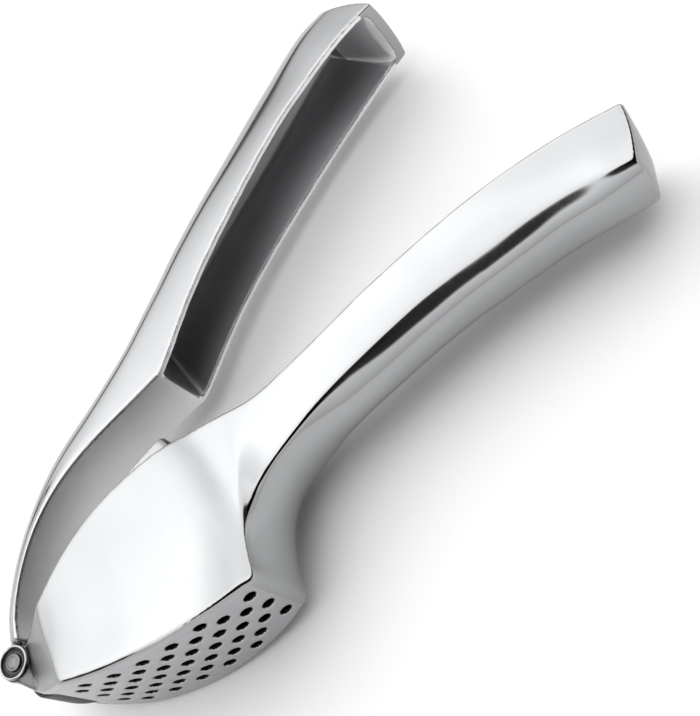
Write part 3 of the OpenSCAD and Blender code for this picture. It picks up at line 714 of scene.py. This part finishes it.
def body_pick(c, n):
    q = c[:, :2] - FC
    rad = np.linalg.norm(q, axis=1)
    r = np.linalg.norm(c[:, :2], axis=1)
    outer = (rad > FLOOR_R - 1.2) & (c[:, 0] > 8) & (c[:, 0] < 60.2) & (c[:, 1] < 12) & (abs(c[:, 2]) < w_out(c[:, 0], c[:, 1]) - 1.2)
    facing = (n[:, :2] * q).sum(1) / rad > 0.8
    # The chamber walls and the handle's channel take the dark inside material: painted shade in the hollows.
    inner = (rad < FLOOR_R - 1.2) & (r < CHAMBER_R + 0.1) & (abs(c[:, 2]) < w_in(r) + 0.2) & (rad < 81)
    hollow = in_channel(c, n, ARMS["body"]) % 2 == 1
    out = np.where(outer & facing, 1, np.where((inner & (r > 6)) | hollow, 2, 0))
    near = np.full(len(c), 9.0)
    for k in range(13):
        a = math.radians(ROW0 - k * ROW_STEP)
        er = np.array([math.cos(a), math.sin(a)])
        t = (c[:, :2] - FC) @ np.array([-er[1], er[0]])
        for z in ((-0.5, 0.5) if k == 1 else ((-1, 0, 1) if k % 2 == 0 else (-1.5, -0.5, 0.5, 1.5))):
            near = np.minimum(near, np.hypot(t, c[:, 2] - z * PITCH))
    # Hole walls take the near-black hole material: painted shade in the holes.
    wall = (near < HOLE_R + 0.3) & (rad > FLOOR_R - FLOOR_T - 0.5) & (rad < FLOOR_R - 0.22) & (c[:, 0] > 15)
    # The front facets take the darker facet material: painted shade.
    facet_shade = (abs(n[:, 2]) > 0.6) & ((n[:, 0] < -0.42) | (abs(c[:, 2]) < 7.55)) & (c[:, 0] > -1) & (c[:, 0] < 22) & (abs(c[:, 2]) > 7) & (r < 24)
    under = (n[:, 1] < -0.6) & (c[:, 0] > 1) & (c[:, 0] < 14) & (c[:, 1] < -3.5) & (r > 4.4)
    out = np.where(under & (out == 0), 1, out)
    tail = ARMS["body"][0]
    last = (tail[-1, 2:4] + tail[-1, 4:6]) / 2
    axis = last - (tail[-3, 2:4] + tail[-3, 4:6]) / 2
    axis = axis / np.linalg.norm(axis)
    # The handle's end cap takes the darker facet material too: painted shade.
    end_cap_shade = ((n[:, :2] * axis).sum(1) > 0.8) & (((c[:, :2] - last) * axis).sum(1) > -3) & (np.linalg.norm(c[:, :2] - last, axis=1) < 16)
    out = np.where(end_cap_shade & (out == 0), 4, out)
    # The land round the lugs takes the near-black land material: painted shade over a bright reflection.
    land_shade = facet_shade & (n[:, 0] > -0.3) & (abs(c[:, 2]) < 7.55)
    return np.where(wall, 3, np.where(land_shade & (out == 0), 5, np.where(facet_shade & (out == 0), 4, out)))


def lever_pick(c, n):
    d, t, s = ARMS["lever_line"]
    seg = d[t < s[14]]
    mid = seg[:, 4:6]
    q = np.empty(len(c))
    k = np.empty(len(c), int)
    for a in range(0, len(c), 20000):
        dist = ((c[a:a + 20000, None, :2] - mid[None]) ** 2).sum(2)
        k[a:a + 20000] = dist.argmin(1)
        q[a:a + 20000] = np.sqrt(dist.min(1))
    up = seg[k][:, 4:6] - seg[k][:, 2:4]
    up = up / np.linalg.norm(up, axis=1)[:, None]
    # The inner face of the lever takes the near-white face material: painted highlight.
    face_highlight = (q < 0.5) & ((n[:, :2] * up).sum(1) > 0.9) & (abs(c[:, 2]) < seg[k][:, 7] - 0.5)
    # The channel lining takes the dark inside material, painted shade; its lip and far end wall take the near-white
    # face material, painted highlight.
    lined = in_channel(c, n, ARMS["lever"])
    return np.where(lined > 0, np.minimum(lined, 2), np.where(face_highlight, 2, 0))


def block_pick(c, n):
    a = math.radians(BLOCK_LIFT)
    f = np.array([FC[0] * math.cos(a) - FC[1] * math.sin(a), FC[0] * math.sin(a) + FC[1] * math.cos(a)])
    q = c[:, :2] - f
    rad = np.linalg.norm(q, axis=1)
    # The block's face against the sieve floor takes the near-black hole material: painted shade between the parts.
    return np.where((rad > FLOOR_R - FLOOR_T - 1.2) & (c[:, 1] < 20), 1, 0)


def ferrule_pick(c, n):
    r = np.linalg.norm(c[:, :2], axis=1)
    # Round the pin and at the outer edge the ferrule goes near-black: painted shade in the gaps.
    return np.where((r < 3.18) | (r > 3.765), 1, 0)


dress(body, [POLISHED, SATIN, INSIDE_SHADE, HOLE_SHADE, FACET_SHADE, LAND_SHADE], body_pick)
dress(lever, [POLISHED, INSIDE_SHADE, FACE_HIGHLIGHT], lever_pick)
dress(block, [BLOCK, HOLE_SHADE], block_pick)
dress(rivet, [RIVET])
for o in ferrules:
    dress(o, [POLISHED, GROOVE_SHADE], ferrule_pick)

for o, node, grp, sl in ((body, "hopper_body", "hopper", "casting"), (lever, "lever", "lever_arm", "casting"),
                         (block, "press_block", "block", "block"), (rivet, "hinge_pin", "hopper", "pin")):
    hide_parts(node)
    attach(o, grp)
for o in ferrules:
    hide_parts("pin_ferrules")
    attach(o, "hopper")

for o in (body, lever, block, rivet, *ferrules):
    co = np.empty(len(o.data.vertices) * 3)
    o.data.vertices.foreach_get("co", co)
    co = np.clip(co.reshape(-1, 3), np.array(CAD_BOX[0]) + 2e-6, np.array(CAD_BOX[1]) - 2e-6)
    o.data.vertices.foreach_set("co", co.ravel())
    o.data.update()

# ---------------------------------------------------------------- stage, light, camera
bpy.ops.mesh.primitive_plane_add(size=6, location=(0, 0, -0.0002))
floor = bpy.context.object
floor.name = "floor"
fm = bpy.data.materials.new("floor_paper")
fm.use_nodes = True
fp = fm.node_tree.nodes["Principled BSDF"]
fp.inputs["Base Color"].default_value = (0.68, 0.68, 0.68, 1)
fp.inputs["Roughness"].default_value = 0.9
fp.inputs["Specular IOR Level"].default_value = 0.1
floor.data.materials.append(fm)

world = bpy.data.worlds.new("studio")
bpy.context.scene.world = world
world.use_nodes = True
wn = world.node_tree
wn.nodes.clear()
wo = wn.nodes.new("ShaderNodeOutputWorld")
bg = wn.nodes.new("ShaderNodeBackground")
tc = wn.nodes.new("ShaderNodeTexCoord")
wn.links.new(bg.outputs[0], wo.inputs[0])


def wmath(op, a, b):
    n = wn.nodes.new("ShaderNodeMath")
    n.operation = op
    for i, v in enumerate((a, b)):
        if isinstance(v, (int, float)):
            n.inputs[i].default_value = v
        else:
            wn.links.new(v, n.inputs[i])
    return n.outputs[0]


def patch(direction, outer, inner):
    """1 inside a round patch of the studio round that direction, 0 outside it; angles in degrees."""
    v = Vector(direction).normalized()
    n = wn.nodes.new("ShaderNodeVectorMath")
    n.operation = "DOT_PRODUCT"
    wn.links.new(tc.outputs["Generated"], n.inputs[0])
    n.inputs[1].default_value = v
    r = wn.nodes.new("ShaderNodeMapRange")
    r.interpolation_type = "SMOOTHSTEP"
    r.inputs["From Min"].default_value = math.cos(math.radians(outer))
    r.inputs["From Max"].default_value = math.cos(math.radians(inner))
    wn.links.new(n.outputs["Value"], r.inputs["Value"])
    return r.outputs["Result"]


sep = wn.nodes.new("ShaderNodeSeparateXYZ")
wn.links.new(tc.outputs["Generated"], sep.inputs[0])
rp = wn.nodes.new("ShaderNodeValToRGB")
wn.links.new(sep.outputs["Z"], rp.inputs["Fac"])
el = rp.color_ramp.elements
el[0].position, el[0].color = 0.0, (0.42, 0.42, 0.42, 1)
el[1].position, el[1].color = 1.0, (1.22, 1.22, 1.23, 1)
for pos, val in ((0.15, 0.50), (0.42, 0.66), (0.75, 0.94)):
    e = el.new(pos)
    e.color = (val, val, val, 1)
sky = wmath("MULTIPLY", rp.outputs[0], 2.0)
sky = wmath("ADD", sky, wmath("MULTIPLY", patch((-0.64, 0.24, 0.73), 52, 12), 0.65))
sky = wmath("MULTIPLY", sky, wmath("SUBTRACT", 1.0, wmath("MULTIPLY", patch((0.03, 0.26, 0.965), 17, 3), 0.16)))
for direction, outer, inner in (((0.47, -0.53, 0.71), 21, 17), ((-0.42, -0.74, 0.53), 22, 14), ((0.63, -0.33, 0.70), 25, 20),
                                ((0.76, -0.05, 0.65), 20, 12), ((0.86, 0.16, 0.48), 20, 13),
                                ((0.80, 0.39, 0.44), 20, 13)):
    dark = wmath("MULTIPLY", patch(direction, outer, inner), 0.97)
    sky = wmath("MULTIPLY", sky, wmath("SUBTRACT", 1.0, dark))
# a dark strip just above the horizon behind the lever
low = wn.nodes.new("ShaderNodeMapRange")
low.interpolation_type = "SMOOTHSTEP"
low.inputs["From Min"].default_value, low.inputs["From Max"].default_value = 0.15, 0.05
wn.links.new(sep.outputs["Z"], low.inputs["Value"])
strip = wmath("MULTIPLY", wmath("MULTIPLY", low.outputs["Result"], patch((-0.84, 0.54, 0.0), 30, 18)), 0.85)
sky = wmath("MULTIPLY", sky, wmath("SUBTRACT", 1.0, strip))
wn.links.new(sky, bg.inputs["Strength"])
bg.inputs["Color"].default_value = (1.0, 1.0, 1.0, 1)


def softbox(name, loc, target, size, power):
    l = bpy.data.lights.new(name, "AREA")
    l.shape, l.size, l.size_y, l.energy = "RECTANGLE", size[0], size[1], power
    o = bpy.data.objects.new(name, l)
    bpy.context.scene.collection.objects.link(o)
    o.location = loc
    o.visible_glossy = False
    o.rotation_euler = (Vector(target) - Vector(loc)).to_track_quat("-Z", "Y").to_euler()
    return o


softbox("key_softbox", (-0.7, 0.45, 0.6), (0, 0, 0), (0.9, 0.9), 1.5)
softbox("top_softbox", (-0.1, 0.1, 1.2), (0, 0, 0), (0.8, 0.8), 1.5)

cam_pos = (HINGE + np.array([182.67, -40.46, 209.69])) * 0.001
fwd = Vector((-0.4152, 0.3910, -0.8214)).normalized()
right = Vector((0.8925, 0.0, -0.4511)).normalized()
up = right.cross(fwd).normalized()
cam = bpy.data.cameras.new("camera")
cam.sensor_fit, cam.sensor_width, cam.lens = "AUTO", 36.0, 60.34
cam.clip_start, cam.clip_end = 0.01, 20
co = bpy.data.objects.new("camera", cam)
bpy.context.scene.collection.objects.link(co)
co.matrix_world = Matrix(((right.x, up.x, -fwd.x, cam_pos[0]), (right.y, up.y, -fwd.y, cam_pos[1]),
                          (right.z, up.z, -fwd.z, cam_pos[2]), (0, 0, 0, 1)))
bpy.context.scene.camera = co
bpy.context.scene.view_settings.view_transform = "Standard"
